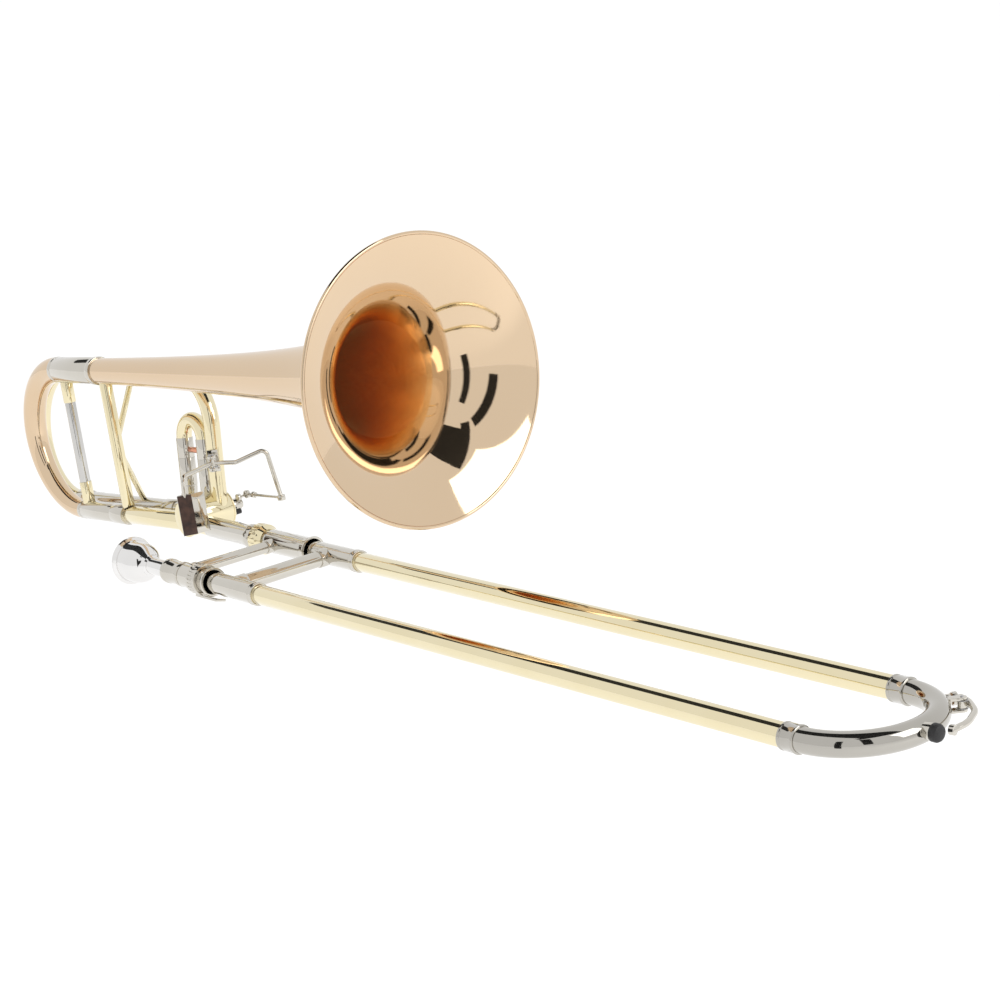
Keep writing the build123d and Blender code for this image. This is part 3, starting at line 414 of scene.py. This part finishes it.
bell = {
    "rimRadius": 108.7, "length": 479.5, "offset": 25.7, "power": 0.755, "wall": 0.9, "beadRadius": 1.5,
    "stations": 70, "sides": 160, "beadSteps": 10, "throatFrom": 55.0,
}


def hornRadius(back):
    return bell["rimRadius"] * (bell["offset"] / (back + bell["offset"])) ** bell["power"]


def hornSlope(back):
    return -bell["power"] * hornRadius(back) / (back + bell["offset"])


def makeBell():
    # from the small end out along the back, round the rim wire, and in again along the face
    backs = [bell["length"] * (step / bell["stations"]) ** 2 for step in range(bell["stations"] + 1)]
    outline = [(-back, hornRadius(back)) for back in reversed(backs)]
    wireCentre = (-0.3, bell["rimRadius"] - 0.1)
    for step in range(bell["beadSteps"] + 1):
        turn = radians(170 - 290 * step / bell["beadSteps"])
        outline.append((wireCentre[0] + bell["beadRadius"] * cos(turn),
            wireCentre[1] + bell["beadRadius"] * sin(turn)))
    for back in backs[2:]:
        slope = hornSlope(back)
        norm = hypot(1, slope)
        outline.append((-back - bell["wall"] * slope / norm, hornRadius(back) - bell["wall"] / norm))
    outline.append(outline[0])
    return turnPiece("bellFlare", outline, rimCentre, alongBell, bell["sides"])


bellPiece = settle(makeBell(), "bellOutside", "bell_section", ("bell_flare", "bell_stem"), angle=50)
# the throat's second finish carries a painted glow, a faint emission that stands in for light bouncing down
# the bell
bellPiece.data.materials.append(finishes["bellThroat"])
for face in bellPiece.data.polygons:
    fromRim = face.center - rimCentre
    back = -fromRim.dot(alongBell)
    outward = fromRim + alongBell * back
    if back > bell["throatFrom"] * mm and face.normal.dot(outward) < 0:
        face.material_index = 1  # the inside, past the flare's neck
print("bell made:", len(bellPiece.data.polygons), "faces")

slide = {
    "tubeRadius": 7.75, "tubeBore": 7.2, "sleeveRadius": 8.7, "sleeveStart": 42.0, "sleeveEnd": 130.0,
    "lip": 0.35,
    "tubeStart": 40.0, "bowStart": 691.5, "ferruleLength": 12.0, "ferruleRadius": 8.9, "bowRadius": 8.0,
    "bowWall": 0.8,
    "spacing": 97.0,
}
legs = {"BellSide": Vector((0, 0, 0)), "MouthSide": Vector((0, -slide["spacing"] * mm, 0))}
tubeNodes = {"BellSide": "outer_tube_bell_side", "MouthSide": "outer_tube_mouthpiece_side"}
for side, leg in legs.items():
    tube = turnPiece("slideTube" + side, pipeOutline(slide["tubeRadius"], slide["tubeBore"],
        slide["tubeStart"], slide["bowStart"]), leg, alongSlide)
    settle(tube, "yellowBrass", "hand_slide", (tubeNodes[side],), 0.15)
    r, tubeR, lip = slide["sleeveRadius"], slide["tubeRadius"], slide["lip"]
    x0, x1 = slide["sleeveStart"], slide["sleeveEnd"]
    sleeveOutline = [
        (x0, tubeR), (x0, r), (x1 - 6.0, r), (x1 - 5.6, r + lip), (x1 - 4.4, r + lip), (x1 - 4.0, r),
        (x1 - 1.6, r),
        (x1 - 1.2, r + lip), (x1 - 0.2, r + lip), (x1, r), (x1, tubeR), (x0, tubeR),
    ]
    sleeve = turnPiece("slideSleeve" + side, sleeveOutline, leg, alongSlide)
    settle(sleeve, "nickelSilver", "hand_slide", ("outer_sleeves",) if side == "BellSide" else (), 0.1)
    r = slide["ferruleRadius"]
    x0, x1 = slide["bowStart"] - slide["ferruleLength"], slide["bowStart"] + 1.0
    ferruleOutline = [
        (x0, tubeR), (x0, r - 0.6), (x0 + 0.5, r), (x0 + 1.6, r), (x0 + 2.0, r - 0.45),
        (x0 + 2.8, r - 0.45), (x0 + 3.2, r),
        (x1 - 2.0, r), (x1 - 1.6, r + 0.25), (x1 - 0.4, r + 0.25), (x1, r - 0.4), (x1, tubeR), (x0, tubeR),
    ]
    ferrule = turnPiece("bowFerrule" + side, ferruleOutline, leg, alongSlide)
    settle(ferrule, "nickelBow", "hand_slide", ("bow_ferrules",) if side == "BellSide" else (), 0.12)

bowStart = Vector((slide["bowStart"] * mm, 0, 0))
bowMiddle = bowStart + legs["MouthSide"] / 2
bow = bendPiece("slideBow", bowStart, alongSlide, slide["bowRadius"],
    [("bend", bowMiddle, straightUp, -180)], 56)
settle(bow, "nickelBow", "hand_slide", ("slide_bow",), 0.0, 40, slide["bowWall"])
print("hand slide made")

# fittings of the hand slide that keep their CAD shape
for node, finish, bevel in (
    ("outer_brace", "nickelSilver", 0.35), ("bumper_cup", "nickelSilver", 0.25),
    ("bumper_tip", "rubber", 0.3),
    ("water_key_seat", "nickelSilver", 0.25), ("water_key_pin", "steel", 0.15),
    ("water_key_lever", "nickelSilver", 0.0),
    ("water_key_cork", "cork", 0.15), ("water_key_spring", "steel", 0.0),
    ("slide_lock_pin", "nickelSilver", 0.2),
):
    refined(node, finish, bevel)

for node, finish, bevel in (
    ("inner_tube_bell_side", "nickelTube", 0.1), ("inner_tube_mouthpiece_side", "nickelTube", 0.1),
    ("cork_barrels", "nickelSilver", 0.2), ("barrel_corks", "cork", 0.2),
    ("inner_brace", "nickelSilver", 0.3),
    ("mouthpiece_receiver", "nickelSilver", 0.2), ("leadpipe", "rawBrass", 0.1),
    ("bell_connector", "nickelTube", 0.15),
    ("bell_lock_nut", "yellowBrass", 0.15), ("slide_lock_ring", "nickelSilver", 0.15),
):
    refined(node, finish, bevel)

mouthpiece = {
    "outline": (
        (-57.0, 15.5), (-57.28, 16.9), (-57.0, 18.2), (-56.3, 19.1), (-55.4, 19.7), (-54.4, 19.9),
        (-53.2, 19.4),
        (-52.2, 17.4), (-48.5, 17.15), (-45.0, 16.9), (-41.0, 16.6), (-38.0, 16.0), (-35.0, 14.7),
        (-32.0, 12.6),
        (-30.0, 10.6), (-28.6, 9.0), (-28.0, 8.5), (-25.0, 8.5), (-23.8, 6.9), (-6.0, 6.9), (0.0, 6.42),
        (2.0, 6.42),
        (20.0, 5.97), (20.0, 5.17), (-19.0, 3.3), (-30.0, 3.3), (-33.0, 4.6), (-36.0, 7.0), (-38.0, 8.4),
        (-42.0, 10.4),
        (-48.0, 11.9), (-53.0, 12.7), (-55.6, 12.9), (-56.6, 14.2), (-57.0, 15.5),
    ),
}
cup = turnPiece("mouthpieceTurned", mouthpiece["outline"], legs["MouthSide"], alongSlide, 96)
settle(cup, "silverPlate", "mouthpiece", ("mouthpiece",), 0.0, 40)
print("inner slide made")

tuningCrook = {"x": -186.0, "large": 11.7, "small": 8.5, "wall": 0.9}
crookTop = inSection(tuningCrook["x"], 0, sectionPlan["bellUp"])
crookMiddle = inSection(tuningCrook["x"], 0, sectionPlan["bellUp"] / 2)
crook = bendPiece(
    "tuningCrookDrawn", crookTop, -alongBell, tuningCrook["large"],
    [("bend", crookMiddle, toLeft, -180)], 56, tuningCrook["small"],
)
settle(crook, "bellOutside", "tuning_slide", ("tuning_crook",), 0.0, 40, tuningCrook["wall"])

# the F tubes lean to the left about the axis of their lower run
fTubes = {
    "lean": 5.0, "planeY": 22.0, "lowerZ": 3.0, "crookX": -229.0, "crookRadius": 60.0, "radius": 7.1,
    "wall": 0.5,
    "slideX": -1.6, "slideCrown": 67.7, "slideHalf": 16.0, "slideRadius": 6.92, "slideWall": 0.75,
}
leanUp = upBell * cos(radians(fTubes["lean"])) + toLeft * sin(radians(fTubes["lean"]))
leanLeft = toLeft * cos(radians(fTubes["lean"])) - upBell * sin(radians(fTubes["lean"]))


def inLean(x, z):
    return inSection(x, fTubes["planeY"], fTubes["lowerZ"]) + leanUp * (z - fTubes["lowerZ"]) * mm


rearTop = inLean(fTubes["crookX"], fTubes["lowerZ"] + 2 * fTubes["crookRadius"])
rearMiddle = inLean(fTubes["crookX"], fTubes["lowerZ"] + fTubes["crookRadius"])
rearCrook = bendPiece("rearCrookDrawn", rearTop, -alongBell, fTubes["radius"],
    [("bend", rearMiddle, leanLeft, -180)], 48)
settle(rearCrook, "yellowBrass", "bell_section", ("f_rear_crook",), 0.0, 40, fTubes["wall"])
crownStart = inLean(fTubes["slideX"], fTubes["slideCrown"])
crownMiddle = inLean(fTubes["slideX"] - fTubes["slideHalf"], fTubes["slideCrown"])
crown = bendPiece("slideCrownDrawn", crownStart, leanUp, fTubes["slideRadius"],
    [("bend", crownMiddle, leanLeft, -180)], 48)
settle(crown, "yellowBrass", "f_tuning_slide", ("f_slide_bow",), 0.0, 40, fTubes["slideWall"])

sectionParts = (
    ("slide_receiver", "nickelSilver", 0.2), ("neckpipe", "yellowBrass", 0.1),
    ("valve_casing", "yellowBrass", 0.3),
    ("valve_caps", "yellowBrass", 0.4), ("rotor", "rawBrass", 0.3), ("stop_arm", "nickelSilver", 0.25),
    ("stop_plate", "yellowBrass", 0.25), ("stop_bumpers", "rubber", 0.2), ("link_rod", "nickelSilver", 0.2),
    ("thumb_lever", "nickelSilver", 0.0), ("thumb_paddle", "nickelSilver", 0.25),
    ("thumb_pad", "leather", 0.3),
    ("lever_spring", "steel", 0.0), ("lever_bracket", "nickelSilver", 0.3),
    ("lever_hinge_pin", "steel", 0.2),
    ("f_up_tube", "yellowBrass", 0.1), ("f_ferrules", "nickelSilver", 0.2),
    ("f_lower_run", "nickelSilver", 0.1), ("f_slide_sleeves", "nickelSilver", 0.15),
    ("f_slide_legs", "nickelSilver", 0.15), ("f_slide_brace", "copper", 0.15),
    ("lower_leg", "yellowBrass", 0.1),
    ("tuning_sleeves", "nickelSilver", 0.15), ("section_collars", "nickelSilver", 0.2),
    ("rear_brace", "nickelTube", 0.1),
    ("rear_brace_sockets", "yellowBrass", 0.2), ("front_brace", "yellowBrass", 0.1),
    ("brace_struts", "yellowBrass", 0.0),
    ("tuning_legs", "nickelTube", 0.1), ("tuning_ferrules", "nickelSilver", 0.2),
)
for node, finish, bevel in sectionParts:
    refined(node, finish, bevel)
print("bell section made")

studio = {
    "floorBelow": 0.45, "floorSize": 120.0, "floorColour": (0.90, 0.90, 0.90, 1), "floorGlow": 0.22,
    "skyStrength": 0.9, "skySeen": 1.1,
    "stripHeight": 1.7, "stripWidth": 1.1, "stripLength": 4.6,
}
floorLevel = cadBox[0][2] - studio["floorBelow"]
startFresh()
bpy.ops.mesh.primitive_plane_add(size=studio["floorSize"], location=(0, 0, floorLevel))
floor = bpy.context.object
floor.name = "studioFloor"
floorPaint = bpy.data.materials.new("floorPaper")
floorPaint.use_nodes = True
paper = floorPaint.node_tree.nodes["Principled BSDF"]
paper.inputs["Base Color"].default_value = studio["floorColour"]
paper.inputs["Roughness"].default_value = 0.9
paper.inputs["Emission Color"].default_value = (1, 1, 1, 1)
paper.inputs["Emission Strength"].default_value = studio["floorGlow"]
floor.data.materials.append(floorPaint)

blackPaint = bpy.data.materials.new("blackCard")
blackPaint.use_nodes = True
blackPaint.node_tree.nodes["Principled BSDF"].inputs["Base Color"].default_value = (0.01, 0.01, 0.01, 1)
blackPaint.node_tree.nodes["Principled BSDF"].inputs["Roughness"].default_value = 0.9


def towards(azimuth, rise, distance):
    # a place seen from the bell's rim, by compass angle from the slide's direction and by height
    flat = cos(radians(rise)) * distance
    way = Vector((cos(radians(azimuth)) * flat, sin(radians(azimuth)) * flat,
        sin(radians(rise)) * distance))
    return rimCentre + way


def blackCard(name, place, width, height, upright=True):
    # a dark card that only the polished metal sees, turned to face the bell
    startFresh()
    facing = (rimCentre - place).to_track_quat("Z", "Y").to_euler() if upright else (0, 0, 0)
    bpy.ops.mesh.primitive_plane_add(size=1, location=place, rotation=facing)
    card = bpy.context.object
    card.name = name
    card.scale = (width, height, 1)
    card.data.materials.append(blackPaint)
    card.visible_camera = False
    card.visible_diffuse = False
    card.visible_shadow = False
    return card


blackCard("overheadStrip", Vector((-0.8, 0.0, studio["stripHeight"])), studio["stripLength"],
    studio["stripWidth"], False)
blackCard("sideStrip", towards(-60, 6, 2.2), 0.30, 2.6)
blackCard("frontStrip", towards(-30, 24, 2.4), 0.42, 1.7)
blackCard("topStrip", towards(-6, 55, 2.6), 1.9, 0.45)

world = bpy.context.scene.world or bpy.data.worlds.new("studioSky")
bpy.context.scene.world = world
world.use_nodes = True
sky = world.node_tree
sky.nodes["Background"].inputs["Color"].default_value = (1, 1, 1, 1)
seen = sky.nodes.new("ShaderNodeLightPath")
level = addNode(sky, "ShaderNodeMapRange", {
    "Value": seen.outputs["Is Camera Ray"], "To Min": studio["skyStrength"], "To Max": studio["skySeen"],
})
sky.links.new(level.outputs["Result"], sky.nodes["Background"].inputs["Strength"])
bpy.context.scene.cycles.glossy_bounces = 12


def softbox(name, place, aim, size, power):
    data = bpy.data.lights.new(name, "AREA")
    data.shape = "RECTANGLE"
    data.size, data.size_y = size
    data.energy = power
    lamp = bpy.data.objects.new(name, data)
    lamp.location = place
    lamp.rotation_euler = (Vector(aim) - Vector(place)).to_track_quat("-Z", "Y").to_euler()
    bpy.context.collection.objects.link(lamp)
    return lamp


softbox("frontBox", towards(19, 27, 2.6), rimCentre, (1.25, 1.6), 13)

cameraPlan = {"place": (1.6269, -1.0412, 0.5016), "turn": (75.5812, 6.3897, 49.9411), "lens": 86.31}
cameraData = bpy.data.cameras.new("studioCamera")
cameraData.lens = cameraPlan["lens"]
cameraData.sensor_width = 36
cameraData.clip_start = 0.05
camera = bpy.data.objects.new("studioCamera", cameraData)
camera.location = cameraPlan["place"]
camera.rotation_euler = [radians(degrees) for degrees in cameraPlan["turn"]]
bpy.context.collection.objects.link(camera)
bpy.context.scene.camera = camera
bpy.context.scene.view_settings.view_transform = "Standard"
print("studio set")
